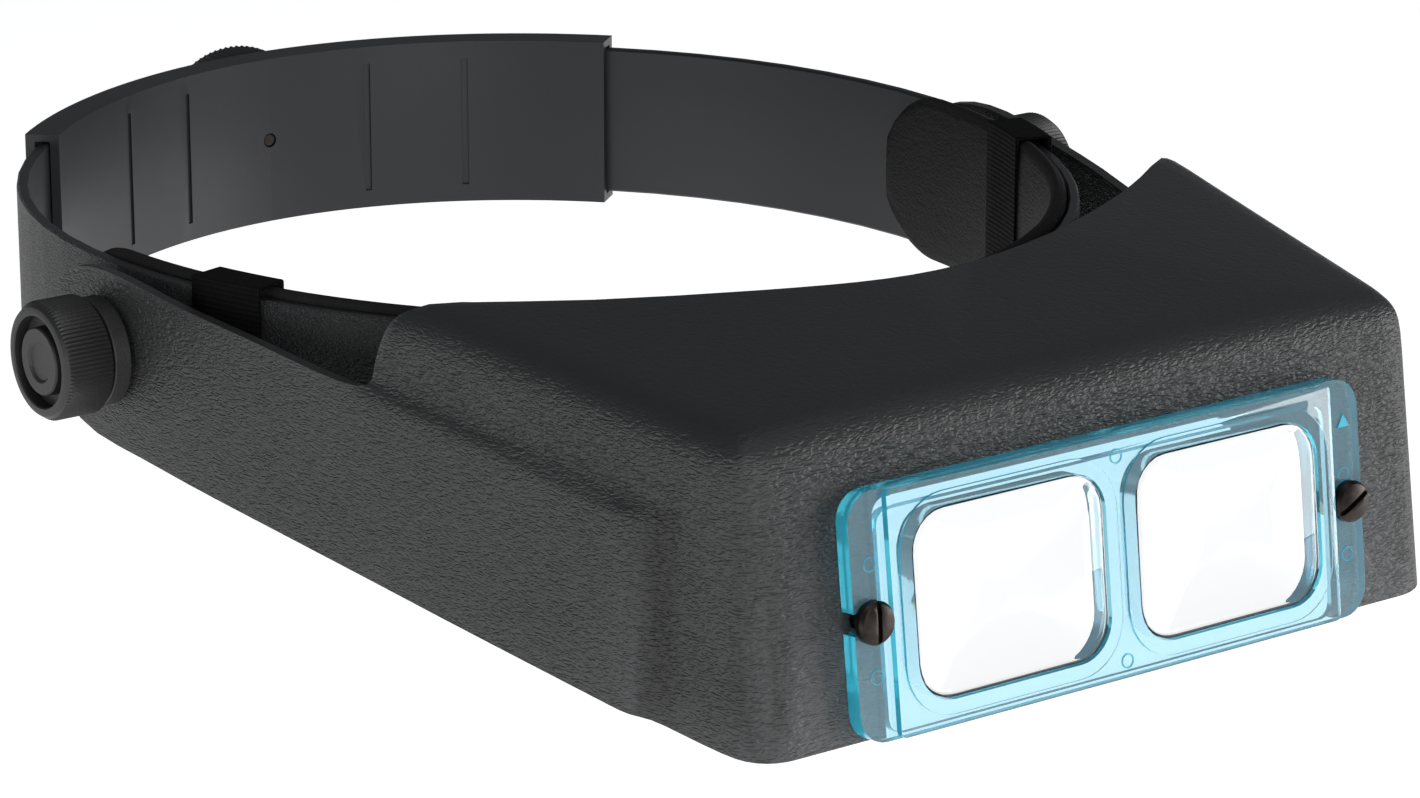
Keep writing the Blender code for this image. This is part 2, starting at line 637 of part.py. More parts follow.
def make_plate_screw(word, side, slot_angle):
    """A slotted screw through the plate's flange and the shell, and the nut behind."""
    place = (PLATE_PLACE @ Matrix.Translation((side * SCREW_SPACING / 2, 0, 0))
             @ Matrix.Rotation(math.radians(90), 4, "X"))
    top = GAP + SCREW_HEAD_LENGTH
    profile = [(SCREW_RADIUS, -9.0 * MM), (SCREW_RADIUS, GAP), (SCREW_HEAD_RADIUS, GAP),
               (SCREW_HEAD_RADIUS, top - 0.9 * MM), (SCREW_HEAD_RADIUS * 0.86, top - 0.2 * MM),
               (SCREW_HEAD_RADIUS * 0.5, top)]
    bm = bmesh.new()
    loft(bm, [circle(place, r, h, 32) for r, h in profile])
    screw = add("plate_screw_" + word, bm, "dark_bronze")
    bm = bmesh.new()
    size = Matrix.Diagonal((9.0 * MM, 0.9 * MM, 1.8 * MM, 1))
    turn = Matrix.Rotation(math.radians(slot_angle), 4, "Z")
    bmesh.ops.create_cube(bm, size=1.0, matrix=place @ Matrix.Translation((0, 0, top)) @ turn @ size)
    cut(screw, add("slot", bm, "dark_bronze"))
    make_nut("plate_nut_" + word, place @ Matrix.Translation((0, 0, -PLATE_THICK - SHELL_WALL - 2 * GAP)))


def make_nut(name, place):
    """A hexagon nut, from height 0 down a place's Z axis."""
    bm = bmesh.new()
    rings = []
    for i in range(24):
        angle = math.radians(15 * i)
        off_corner = angle % math.radians(60) - math.radians(30)
        across = NUT_RADIUS * math.cos(math.radians(30)) / math.cos(off_corner)
        inner = SCREW_RADIUS + GAP
        rings.append([place @ Vector((r * math.cos(angle), r * math.sin(angle), h))
                      for r, h in ((inner, 0), (across, 0), (across, -2.4 * MM), (inner, -2.4 * MM))])
    loft(bm, rings, closed=True)
    add(name, bm, "brass")


for old in list(bpy.data.objects):
    bpy.data.objects.remove(old)

make_headband()
make_rear_channel()
make_rear_clamp()
make_sweatband()
make_visor_shell()
make_lens_plate()
for word, side, slot_angle in (("left", -1, 88), ("right", 1, 28)):
    make_keeper("keeper_loop_" + word, side)
    make_pivot(word, side)
    make_lens("lens_" + word, side)
    make_plate_screw(word, side, slot_angle)
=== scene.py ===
import bpy
import bmesh
import json
import math
from mathutils import Matrix, Vector


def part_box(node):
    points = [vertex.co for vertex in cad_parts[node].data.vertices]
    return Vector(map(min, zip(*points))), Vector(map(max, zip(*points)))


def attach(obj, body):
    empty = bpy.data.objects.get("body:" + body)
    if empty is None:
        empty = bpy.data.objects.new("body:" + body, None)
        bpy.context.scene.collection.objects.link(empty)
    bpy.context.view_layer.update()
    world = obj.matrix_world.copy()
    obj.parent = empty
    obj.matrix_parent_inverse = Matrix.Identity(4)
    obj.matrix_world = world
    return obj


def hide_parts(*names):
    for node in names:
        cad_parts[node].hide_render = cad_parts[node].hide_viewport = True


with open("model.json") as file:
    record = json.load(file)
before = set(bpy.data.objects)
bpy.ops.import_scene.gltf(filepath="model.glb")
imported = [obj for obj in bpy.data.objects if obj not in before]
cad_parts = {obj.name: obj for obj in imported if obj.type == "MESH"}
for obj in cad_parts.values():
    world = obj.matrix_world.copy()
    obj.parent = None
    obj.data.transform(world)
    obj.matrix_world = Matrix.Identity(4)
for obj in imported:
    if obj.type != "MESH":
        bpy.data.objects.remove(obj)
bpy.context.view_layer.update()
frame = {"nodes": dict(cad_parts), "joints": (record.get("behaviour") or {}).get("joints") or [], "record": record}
nodes = frame["nodes"]
joints = {joint["name"]: joint for joint in frame["joints"]}
mm = 0.001
print("frame loaded with", len(nodes), "nodes")


# a shader socket that can be used in sums, and that adds any other node to its tree
class Wire:
    def __init__(self, tree, socket=None):
        self.tree = tree
        self.socket = socket

    def add(self, kind, settings=None, sockets=None, out=0):
        made = self.tree.nodes.new("ShaderNode" + kind)
        for key, value in (settings or {}).items():
            setattr(made, key, value)
        for key, value in (sockets or {}).items():
            if isinstance(value, Wire):
                self.tree.links.new(value.socket, made.inputs[key])
            else:
                made.inputs[key].default_value = value
        return Wire(self.tree, made.outputs[out])

    def sum(self, operation, first, second):
        return self.add("Math", {"operation": operation}, {0: first, 1: second})

    def __add__(self, other):
        return self.sum("ADD", self, other)

    def __sub__(self, other):
        return self.sum("SUBTRACT", self, other)

    def __rsub__(self, other):
        return self.sum("SUBTRACT", other, self)

    def __mul__(self, other):
        return self.sum("MULTIPLY", self, other)

    def __abs__(self):
        return self.sum("ABSOLUTE", self, 0.0)

    __radd__ = __add__
    __rmul__ = __mul__

    def within(self, low, high):
        # 0 below low, 1 above high
        return self.add("MapRange", {"clamp": True}, {"Value": self, "From Min": low, "From Max": high})

    def mixed(self, first, second):
        # first colour where this is 0, second where it is 1
        return self.add("Mix", {"data_type": "RGBA"}, {0: self, 6: first, 7: second}, out=2)


def colour(r, g, b):
    return (r, g, b, 1.0)


def newMaterial(name):
    made = bpy.data.materials.new(name)
    made.use_nodes = True
    made.node_tree.nodes.clear()
    return made, Wire(made.node_tree)


def close(made, shader):
    end = made.node_tree.nodes.new("ShaderNodeOutputMaterial")
    made.node_tree.links.new(shader.socket, end.inputs["Surface"])
    return made


def noise(wire, size, stretch, detail, distortion=0.0):
    # noise whose spots are about size metres across, stretched along the axes
    scale = tuple(1.0 / (size * s) for s in stretch)
    place = wire.add("TexCoord", out="Object")
    mapped = wire.add("Mapping", None, {"Vector": place, "Scale": scale})
    return wire.add("TexNoise", None, {"Vector": mapped, "Scale": 1.0, "Detail": detail,
                                       "Roughness": 0.5, "Distortion": distortion})


def mask(wire, name):
    return wire.add("Attribute", {"attribute_name": name}, out="Fac")


def bump(wire, height, depth):
    return wire.add("Bump", None, {"Height": height, "Distance": depth, "Strength": 1.0}, out="Normal")


# painted shade colour laid into creases and hollows
creaseShadeColour = (0.003, 0.003, 0.0035)


# moulded black plastic: short wavy wrinkles, finer pitting, and rubbed patches, with painted shade in creases and
# on up-facing parts and a painted highlight on proud edges
def mouldedPlastic(name, look):
    made, wire = newMaterial(name)
    flow = noise(wire, look["wrinkle"], look["stretch"], 1.0, look["waver"])
    worms = 1 - abs((flow - 0.5) * look["crowding"])
    pits = noise(wire, look["wrinkle"] * 0.35, (1, 1, 1), 2.0)
    smoothShadedMask = mask(wire, "smoothShadedPart")
    height = (worms.within(0.0, 1.0) + pits * look["pitting"]) * (1 - smoothShadedMask * look["flatter"])
    patches = noise(wire, 28 * mm, (1, 1, 0.7), 4.0)
    rubbed = noise(wire, 6 * mm, (1, 1, 0.5), 6.0).within(0.62, 0.80)
    fade = patches.within(0.3, 0.7) * 0.7 + rubbed * 0.3
    shade = fade.mixed(colour(*look["dark"]), colour(*look["light"]))
    # smooth parts: calmer, glossier grain and a darker colour, which on the shell's up-facing parts is painted
    # shade
    shade = (smoothShadedMask * look["smoothPartShadeTint"]).mixed(shade, colour(*look["smoothPartShadeColour"]))
    # painted shade: creases and hollows darkened
    shade = (mask(wire, "paintedCreaseShade") * look["creaseShadeDepth"]).mixed(shade, colour(*creaseShadeColour))
    # painted highlight: proud edges lightened
    shade = (mask(wire, "paintedEdgeHighlight") * look["edgeHighlightAmount"]).mixed(shade, colour(*look["edgeHighlightColour"]))
    rough = look["roughness"] + patches * 0.08 - rubbed * 0.06 - smoothShadedMask * look["flatGloss"]
    shader = wire.add("BsdfPrincipled", None, {
        "Base Color": shade, "Roughness": rough, "IOR": 1.46,
        "Specular IOR Level": look["specular"], "Normal": bump(wire, height, look["relief"])})
    return close(made, shader)


# turned or plated metal with fine scratches and darker stains
def turnedMetal(name, look):
    made, wire = newMaterial(name)
    scratches = noise(wire, 0.4 * mm, look["stretch"], 3.0)
    stains = noise(wire, 2.5 * mm, (1, 1, 1), 4.0).within(0.35, 0.7)
    shade = stains.mixed(colour(*look["dark"]), colour(*look["light"]))
    rough = look["roughness"] + scratches * 0.18 - stains * 0.06
    shader = wire.add("BsdfPrincipled", None, {
        "Base Color": shade, "Roughness": rough, "Metallic": look["metallic"],
        "Normal": bump(wire, scratches, 0.02 * mm)})
    return close(made, shader)


# tinted acrylic: clear through its faces, deep coloured at its edges
def tintedAcrylic(name, look):
    made, wire = newMaterial(name)
    haze = noise(wire, 9 * mm, (1, 1, 1), 3.0)
    marks = noise(wire, 1.2 * mm, (3, 3, 1), 4.0).within(0.66, 0.85)
    faceTint = haze.within(0.3, 0.7).mixed(colour(*look["face"]), colour(*look["faceDeep"]))
    face = wire.add("BsdfPrincipled", None, {
        "Base Color": faceTint, "Roughness": 0.03 + marks * 0.12, "IOR": 1.49,
        "Transmission Weight": look["clearness"], "Normal": bump(wire, haze, 0.05 * mm)})
    edgeTint = haze.within(0.3, 0.7).mixed(colour(*look["edge"]), colour(*look["edgeDeep"]))
    edge = wire.add("BsdfPrincipled", None, {
        "Base Color": edgeTint, "Roughness": 0.12 + haze * 0.10, "IOR": 1.49,
        "Transmission Weight": look["edgeClearness"]})
    shader = wire.add("MixShader", None, {0: mask(wire, "rim"), 1: face, 2: edge})
    return close(made, shader)


def lensGlass(name, look):
    made, wire = newMaterial(name)
    smudges = noise(wire, 6 * mm, (1, 1, 1), 5.0).within(0.55, 0.8)
    shade = (mask(wire, "rim") * 0.8).mixed(colour(*look["clear"]), colour(*look["edge"]))
    shader = wire.add("BsdfPrincipled", None, {
        "Base Color": shade, "Roughness": smudges * 0.03, "IOR": look["ior"],
        "Transmission Weight": 1.0, "Normal": bump(wire, smudges, 0.004 * mm)})
    return close(made, shader)


# smooth dressed leather: fine pebbles, creases and a dull cut edge
def dressedLeather(name, look):
    made, wire = newMaterial(name)
    place = wire.add("TexCoord", out="Object")
    pebbles = wire.add("TexVoronoi", {"feature": "DISTANCE_TO_EDGE"},
                       {"Vector": place, "Scale": 1 / look["pebble"]})
    creases = noise(wire, 6 * mm, (1, 1, 0.35), 5.0, 0.8)
    cutEdge = mask(wire, "cutEdge")
    fuzz = noise(wire, 0.5 * mm, (1, 1, 1), 3.0)
    height = pebbles.within(0.0, 0.25) * 0.5 + creases * 1.2 + cutEdge * fuzz * 2.0
    shade = creases.within(0.35, 0.7).mixed(colour(*look["dark"]), colour(*look["light"]))
    shade = (cutEdge * (0.5 + fuzz * 0.5)).mixed(shade, colour(*look["suede"]))
    rough = look["roughness"] + creases * 0.15 + cutEdge * 0.25
    shader = wire.add("BsdfPrincipled", None, {
        "Base Color": shade, "Roughness": rough, "Specular IOR Level": look["specular"],
        "Normal": bump(wire, height, look["relief"])})
    return close(made, shader)


waveSpan = 0.314        # how far apart a wave texture's bands are at a scale of 1


# woven elastic: fine ribs along the loop, crossed by a softer weft
def wovenElastic(name, look):
    made, wire = newMaterial(name)
    place = wire.add("TexCoord", out="Object")
    ribs = wire.add("TexWave", {"bands_direction": "Z"},
                    {"Vector": place, "Scale": waveSpan / look["rib"], "Distortion": 0.4}, out="Fac")
    weft = wire.add("TexWave", {"bands_direction": "Y"},
                    {"Vector": place, "Scale": waveSpan / look["weft"], "Distortion": 0.6}, out="Fac")
    lint = noise(wire, 1.2 * mm, (1, 1, 1), 5.0).within(0.55, 0.8)
    shade = (ribs * 0.6 + lint * 0.4).mixed(colour(*look["dark"]), colour(*look["light"]))
    shader = wire.add("BsdfPrincipled", None, {
        "Base Color": shade, "Roughness": 0.75 + lint * 0.2, "Specular IOR Level": look["specular"],
        "Normal": bump(wire, ribs + weft * 0.6 + lint * 0.3, look["relief"])})
    return close(made, shader)


def pressedFibre(name, look):
    made, wire = newMaterial(name)
    strands = noise(wire, 0.6 * mm, (1, 3, 3), 4.0, 1.0)
    shade = strands.within(0.35, 0.7).mixed(colour(*look["dark"]), colour(*look["light"]))
    shader = wire.add("BsdfPrincipled", None, {
        "Base Color": shade, "Roughness": 0.7 + strands * 0.2, "Normal": bump(wire, strands, 0.06 * mm)})
    return close(made, shader)


shellLook = {"wrinkle": 0.74 * mm, "stretch": (2.3, 2.3, 0.80), "waver": 0.35, "crowding": 3.6,
             "pitting": 0.10, "relief": 0.22 * mm, "dark": (0.017, 0.0175, 0.0180),
             "light": (0.026, 0.0265, 0.027), "smoothPartShadeColour": (0.0145, 0.0150, 0.0160), "smoothPartShadeTint": 0.8,
             "flatter": 0.72, "flatGloss": 0.06, "roughness": 0.44, "specular": 0.5,
             "creaseShadeDepth": 0.92, "edgeHighlightAmount": 0.6, "edgeHighlightColour": (0.085, 0.087, 0.09)}
bandLook = {"wrinkle": 0.5 * mm, "stretch": (1.6, 1.6, 1.0), "waver": 0.5, "crowding": 4.0,
            "pitting": 0.3, "relief": 0.18 * mm, "dark": (0.016, 0.0165, 0.0175),
            "light": (0.024, 0.0245, 0.026), "smoothPartShadeColour": (0.0125, 0.0132, 0.0155), "smoothPartShadeTint": 1.0,
            "flatter": 0.96, "flatGloss": 0.10, "roughness": 0.46, "specular": 0.40,
            "creaseShadeDepth": 0.7, "edgeHighlightAmount": 0.35, "edgeHighlightColour": (0.06, 0.061, 0.064)}
knobLook = {"wrinkle": 0.8 * mm, "stretch": (1, 1, 1), "waver": 0.3, "crowding": 3.0,
            "pitting": 1.2, "relief": 0.03 * mm, "dark": (0.012, 0.012, 0.0125),
            "light": (0.021, 0.021, 0.022), "smoothPartShadeColour": (0.010, 0.010, 0.011), "smoothPartShadeTint": 0.5,
            "flatter": 0.6, "flatGloss": 0.05, "roughness": 0.44, "specular": 0.5,
            "creaseShadeDepth": 0.5, "edgeHighlightAmount": 0.3, "edgeHighlightColour": (0.05, 0.05, 0.052)}
plateLook = {"face": (0.52, 0.82, 0.935), "faceDeep": (0.47, 0.79, 0.92), "edge": (0.06, 0.64, 0.82),
             "edgeDeep": (0.04, 0.56, 0.76), "clearness": 0.90, "edgeClearness": 0.55}
lensLook = {"clear": (0.885, 0.888, 0.892), "edge": (0.80, 0.86, 0.89), "ior": 1.5}
leatherLook = {"pebble": 0.9 * mm, "relief": 0.10 * mm, "dark": (0.004, 0.004, 0.0045),
               "light": (0.008, 0.0078, 0.0084), "suede": (0.014, 0.013, 0.0127), "roughness": 0.50,
               "specular": 0.16}
elasticLook = {"rib": 0.9 * mm, "weft": 0.6 * mm, "relief": 0.12 * mm, "dark": (0.002, 0.002, 0.0021),
               "light": (0.006, 0.006, 0.0063), "specular": 0.08}
bronzeLook = {"dark": (0.013, 0.011, 0.010), "light": (0.042, 0.034, 0.030), "stretch": (4, 1, 1),
              "roughness": 0.26, "metallic": 0.9}
brassLook = {"dark": (0.42, 0.29, 0.11), "light": (0.66, 0.50, 0.24), "stretch": (1, 1, 4),
             "roughness": 0.28, "metallic": 1.0}
steelLook = {"dark": (0.13, 0.13, 0.135), "light": (0.26, 0.26, 0.27), "stretch": (1, 1, 4),
             "roughness": 0.36, "metallic": 1.0}
fibreLook = {"dark": (0.05, 0.028, 0.018), "light": (0.13, 0.08, 0.05)}

materials = {
    "shell_plastic": mouldedPlastic("shellPlastic", shellLook),
    "band_plastic": mouldedPlastic("bandPlastic", bandLook),
    "knob_plastic": mouldedPlastic("knobPlastic", knobLook),
    "clear_plastic": tintedAcrylic("tintedAcrylic", plateLook),
    "glass": lensGlass("lensGlass", lensLook),
    "leather": dressedLeather("dressedLeather", leatherLook),
    "elastic": wovenElastic("wovenElastic", elasticLook),
    "dark_bronze": turnedMetal("darkBronze", bronzeLook),
    "brass": turnedMetal("turnedBrass", brassLook),
    "steel": turnedMetal("platedSteel", steelLook),
    "fibre": pressedFibre("pressedFibre", fibreLook),
}
print("materials made:", len(materials))

bodyOf = {}
for body, members in frame["record"]["behaviour"]["bodies"].items():
    bodyOf.update({node: body for node in members})
slotOf = {part["node"]: part["material_slot"] for part in frame["record"]["subparts"]}


def finishPiece(name, bm, body, slot, sharpAngle=35):
    mesh = bpy.data.meshes.new(name)
    bm.to_mesh(mesh)
    bm.free()
    mesh.shade_smooth()
    mesh.set_sharp_from_angle(angle=math.radians(sharpAngle))
    mesh.materials.append(materials[slot])
    piece = bpy.data.objects.new(name, mesh)
    bpy.context.scene.collection.objects.link(piece)
    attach(piece, body)
    return piece


def paintFaces(piece, name, test):
    # a number for each face, which materials read by that name
    layer = piece.data.attributes.new(name, "FLOAT", "FACE")
    layer.data.foreach_set("value", [float(test(f.center, f.normal)) for f in piece.data.polygons])


# which way each reads the surface, and how much of a bend it passes over
bendSides = {"paintedCreaseShade": (1, 0.02), "paintedEdgeHighlight": (-1, 0.22)}


def paintCreaseShadeAndEdgeHighlight(piece, reach, rounds):
    # how hollow and how proud the surface is at each point, spread over a few rounds; the hollow values carry
    # painted shade and the proud values a painted highlight
    bm = bmesh.new()
    bm.from_mesh(piece.data)
    bm.normal_update()
    level = []
    for vertex in bm.verts:
        slopes = [vertex.normal.dot((edge.other_vert(vertex).co - vertex.co).normalized())
                  for edge in vertex.link_edges]
        level.append(sum(slopes) / len(slopes))
    for _ in range(rounds):
        level = [level[vertex.index] * 0.5
                 + 0.5 * sum(level[edge.other_vert(vertex).index] for edge in vertex.link_edges)
                 / len(vertex.link_edges) for vertex in bm.verts]
    bm.free()
    for name, (sign, spare) in bendSides.items():
        layer = piece.data.attributes.new(name, "FLOAT", "POINT")
        depth = [max(0.0, min(1.0, (sign * value - spare) / reach)) for value in level]
        layer.data.foreach_set("value", depth)


def paintUpward(piece, name, low, high):
    # 0 where the surface faces sideways, 1 where it faces up
    layer = piece.data.attributes.new(name, "FLOAT", "POINT")
    ups = [(vertex.normal.z - low) / (high - low) for vertex in piece.data.vertices]
    layer.data.foreach_set("value", [max(0.0, min(1.0, up)) for up in ups])


def softenEdges(piece, width, segments=2, angle=40):
    soft = piece.modifiers.new("softEdges", "BEVEL")
    soft.width = width
    soft.segments = segments
    soft.limit_method = "ANGLE"
    soft.angle_limit = math.radians(angle)
    soft.use_clamp_overlap = True
    soft.harden_normals = True


def mergedCopy(node, width=0.15 * mm, sharpAngle=35, joinFlats=True, bevelAngle=40, segments=2):
    # the node's own shape with its triangles joined, and its edges softened
    bm = bmesh.new()
    bm.from_mesh(nodes[node].data)
    bmesh.ops.remove_doubles(bm, verts=bm.verts, dist=0.01 * mm)
    if joinFlats:
        bmesh.ops.dissolve_limit(bm, angle_limit=math.radians(0.6), verts=bm.verts, edges=bm.edges)
    piece = finishPiece(node + "_piece", bm, bodyOf[node], slotOf[node], sharpAngle)
    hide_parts(node)
    if width:
        softenEdges(piece, width, segments, bevelAngle)
    return piece


# pieces turned on an axis
def axisPlace(joint, node):
    # where the node's back face sits on its joint's axis, and how long it is
    axis = Vector(joints[joint]["axis"]).normalized()
    centre = Vector(joints[joint]["pos_m"])
    reach = [(vertex.co - centre).dot(axis) for vertex in nodes[node].data.vertices]
    turn = axis.to_track_quat("Z", "Y").to_matrix().to_4x4()
    return Matrix.Translation(centre + axis * min(reach)) @ turn, max(reach) - min(reach)


def turned(profile, place, steps):
    # spins a line of (radius, height) points into a closed shape
    bm = bmesh.new()
    line = [bm.verts.new((radius, 0, height)) for radius, height in profile]
    edges = [bm.edges.new(pair) for pair in zip(line, line[1:])]
    bmesh.ops.spin(bm, geom=line + edges, cent=(0, 0, 0), axis=(0, 0, 1), angle=2 * math.pi,
                   steps=steps, use_merge=True)
    bmesh.ops.remove_doubles(bm, verts=bm.verts, dist=0.004 * mm)
    bmesh.ops.recalc_face_normals(bm, faces=bm.faces)
    bm.transform(place)
    return bm


knobSizes = {"ridges": 84, "ridgeDepth": 0.42 * mm, "grooveDepth": 2.3 * mm, "dishDepth": 0.7 * mm,
             "pivotPocket": (4.0 * mm, 6.2 * mm), "rearPocket": (3.2 * mm, 5.9 * mm)}


def makeKnob(joint, node, pocket):
    look = knobSizes
    pocketRadius, pocketDepth = pocket
    place, length = axisPlace(joint, node)
    low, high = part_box(node)
    radius = (high.z - low.z) / 2
    groove = length - look["grooveDepth"]
    hub = length - 0.25 * mm
    dish = length - look["dishDepth"]
    profile = [(0.0, pocketDepth), (pocketRadius, pocketDepth), (pocketRadius, 0.0),
               (radius - 1.1 * mm, 0.0),
               (radius - 0.5 * mm, 0.35 * mm), (radius, 1.0 * mm), (radius, length - 1.4 * mm),
               (radius - 0.5 * mm, length - 0.7 * mm), (radius - 0.9 * mm, length - 0.15 * mm),
               (radius - 1.3 * mm, length), (radius * 0.79, length), (radius * 0.77, length - 0.2 * mm),
               (radius * 0.765, groove), (radius * 0.58, groove), (radius * 0.57, hub - 0.3 * mm),
               (radius * 0.55, hub), (radius * 0.36, hub), (radius * 0.34, hub - 0.15 * mm),
               (radius * 0.31, dish), (0.0, dish)]
    steps = look["ridges"] * 2
    bm = turned(profile, Matrix.Identity(4), steps)
    for vertex in bm.verts:
        reach = math.hypot(vertex.co.x, vertex.co.y)
        turnIndex = round(math.atan2(vertex.co.y, vertex.co.x) / (2 * math.pi / steps))
        if reach > radius - 0.1 * mm and turnIndex % 2:
            vertex.co.xy *= (reach - look["ridgeDepth"]) / reach
    bm.transform(place)
    piece = finishPiece(node + "_piece", bm, bodyOf[node], "knob_plastic", 28)
    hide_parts(node)


makeKnob("left_knob_turn", "pivot_knob_left", knobSizes["pivotPocket"])
makeKnob("right_knob_turn", "pivot_knob_right", knobSizes["pivotPocket"])
makeKnob("rear_knob_turn", "rear_knob", knobSizes["rearPocket"])
print("knobs turned")

# the visor shell
shell = mergedCopy("visor_shell", 0.45 * mm, 32, joinFlats=False, bevelAngle=62, segments=2)
shellShading = {"upFrom": 0.18, "upTo": 0.86, "bend": 0.20, "rounds": 2}
# painted shade: the shell's up-facing parts are darker, and their grain calmer
paintUpward(shell, "smoothShadedPart", shellShading["upFrom"], shellShading["upTo"])
# painted shade in the creases and a painted highlight on the proud edges
paintCreaseShadeAndEdgeHighlight(shell, shellShading["bend"], shellShading["rounds"])
panelShadeLook = {"endY": -140.5 * mm, "spread": 3.2 * mm, "top": 2.0 * mm, "depth": 1.0, "sideways": 0.6}
creaseShadeValues = shell.data.attributes["paintedCreaseShade"].data
for vertex in shell.data.vertices:
    # painted shade in the hollow where the arm's raised panel ends
    far = (vertex.co.y - panelShadeLook["endY"]) / panelShadeLook["spread"]
    if abs(vertex.normal.x) > panelShadeLook["sideways"] and vertex.co.z < panelShadeLook["top"]:
        endShade = panelShadeLook["depth"] * math.exp(-far ** 2)
        creaseShadeValues[vertex.index].value = max(creaseShadeValues[vertex.index].value, endShade)
print("visor shell made")

# headband and channel
strap = mergedCopy("headband", 0.12 * mm, 32)
paintFaces(strap, "smoothShadedPart", lambda centre, normal: normal.xy.dot(centre.xy) < 0)
channel = mergedCopy("rear_channel", 0.25 * mm, 32)
paintFaces(channel, "smoothShadedPart", lambda centre, normal: 1.0)
print("headband made")

# lens plate, its lenses and its moulding marks
plate = mergedCopy("lens_plate", 0.42 * mm, 30, segments=3)
plateAxis = Vector(joints["right_screw_turn"]["axis"]).normalized()
for side in ("left", "right"):
    lens = mergedCopy("lens_" + side, 0.25 * mm, 40, joinFlats=False, bevelAngle=60)
    paintFaces(lens, "rim", lambda centre, normal: abs(normal.dot(plateAxis)) < 0.5)

markLook = {"pins": ((-49.6, 9.0), (-49.6, -9.0), (49.6, 4.5), (49.6, -9.0), (0.0, 17.0), (0.0, -16.6)),
            "pinRadius": 1.25 * mm, "pinWidth": 0.22 * mm, "height": 0.10 * mm, "sunk": 0.2 * mm,
            "bodyEnd": 46.0, "bodyFront": 1.2 * mm}
powerLook = {"radius": 1.5 * mm, "across": 49.9 * mm, "up": 13.2 * mm, "height": 0.25 * mm,
             "edge": 0.06 * mm}
windowLook = {"halfTall": 17.4 * mm, "halfWide": 44 * mm, "wallTint": 0.35, "edgeGain": 1.4}
screwPlaces = [Vector(joints[side + "_screw_turn"]["pos_m"]) for side in ("left", "right")]
plateLean = math.atan2(plateAxis.z, -plateAxis.y)
plateTurn = Matrix.Rotation(math.radians(90) - plateLean, 4, "X")
# the plate's own directions: X along it, Y up it and Z out of its front
platePlace = Matrix.Translation((screwPlaces[0] + screwPlaces[1]) / 2) @ plateTurn


def rimOf(centre, normal):
    # the outer edges are deep coloured, and the windows' walls only a little
    look = windowLook
    side = 1.0 - min(1.0, abs(normal.dot(plateAxis)) * look["edgeGain"])
    spot = platePlace.inverted() @ centre
    inWindow = abs(spot.y) < look["halfTall"] and abs(spot.x) < look["halfWide"]
    return side * (look["wallTint"] if inWindow else 1.0)


paintFaces(plate, "rim", rimOf)


def makePinMarks():
    made = bmesh.new()
    outer, low, high = markLook["pinRadius"], -markLook["sunk"], markLook["height"]
    inner = outer - markLook["pinWidth"]
    ring = [(inner, low), (inner, high), (outer, high), (outer, low), (inner, low)]
    for x, z in markLook["pins"]:
        front = markLook["bodyFront"] if abs(x) < markLook["bodyEnd"] else 0.0
        spot = platePlace @ Matrix.Translation((x * mm, z * mm, front))
        one = turned(ring, spot, 28)
        shape = bpy.data.meshes.new("oneMark")
        one.to_mesh(shape)
        one.free()
        made.from_mesh(shape)
        bpy.data.meshes.remove(shape)
    piece = finishPiece("plate_pin_marks", made, bodyOf["lens_plate"], "clear_plastic")
    paintFaces(piece, "rim", lambda centre, normal: 0.5)


def makePowerMark():
    # a plain raised triangle in the place of a lens number
    bm = bmesh.new()
    spot = platePlace @ Matrix.Translation((powerLook["across"], powerLook["up"], 0))
    bmesh.ops.create_circle(bm, cap_ends=True, segments=3, radius=powerLook["radius"], matrix=spot)
    made = bmesh.ops.extrude_face_region(bm, geom=bm.faces[:])
    raised = [item for item in made["geom"] if isinstance(item, bmesh.types.BMVert)]
    bmesh.ops.translate(bm, verts=raised, vec=plateAxis * powerLook["height"])
    bmesh.ops.recalc_face_normals(bm, faces=bm.faces)
    piece = finishPiece("plate_power_mark", bm, bodyOf["lens_plate"], "clear_plastic")
    paintFaces(piece, "rim", lambda centre, normal: 1.0)
    softenEdges(piece, powerLook["edge"])


makePinMarks()
makePowerMark()
print("lens plate made")

# sweatband
sweatLook = {"endAngle": 95.0, "tall": 32.0 * mm, "thick": 3.0 * mm, "outside": -1.3 * mm,
             "rounding": 1.5 * mm, "puff": 0.35 * mm, "columns": 200, "rows": 18, "seamInset": 2.6 * mm,
             "seamWidth": 0.5 * mm, "seamDepth": 0.25 * mm, "cutEdge": 0.9 * mm}
bandShape = {"halfWidth": 92.2 * mm, "halfLength": 105.0 * mm}


def onBand(angle, out, z):
    # a point beside the headband's oval, angle in degrees round from the front
    t = math.radians(angle)
    point = Vector((bandShape["halfWidth"] * math.sin(t), -bandShape["halfLength"] * math.cos(t), 0))
    normal = Vector((math.sin(t) / bandShape["halfWidth"], -math.cos(t) / bandShape["halfLength"], 0))
    return point + normal.normalized() * out + Vector((0, 0, z))


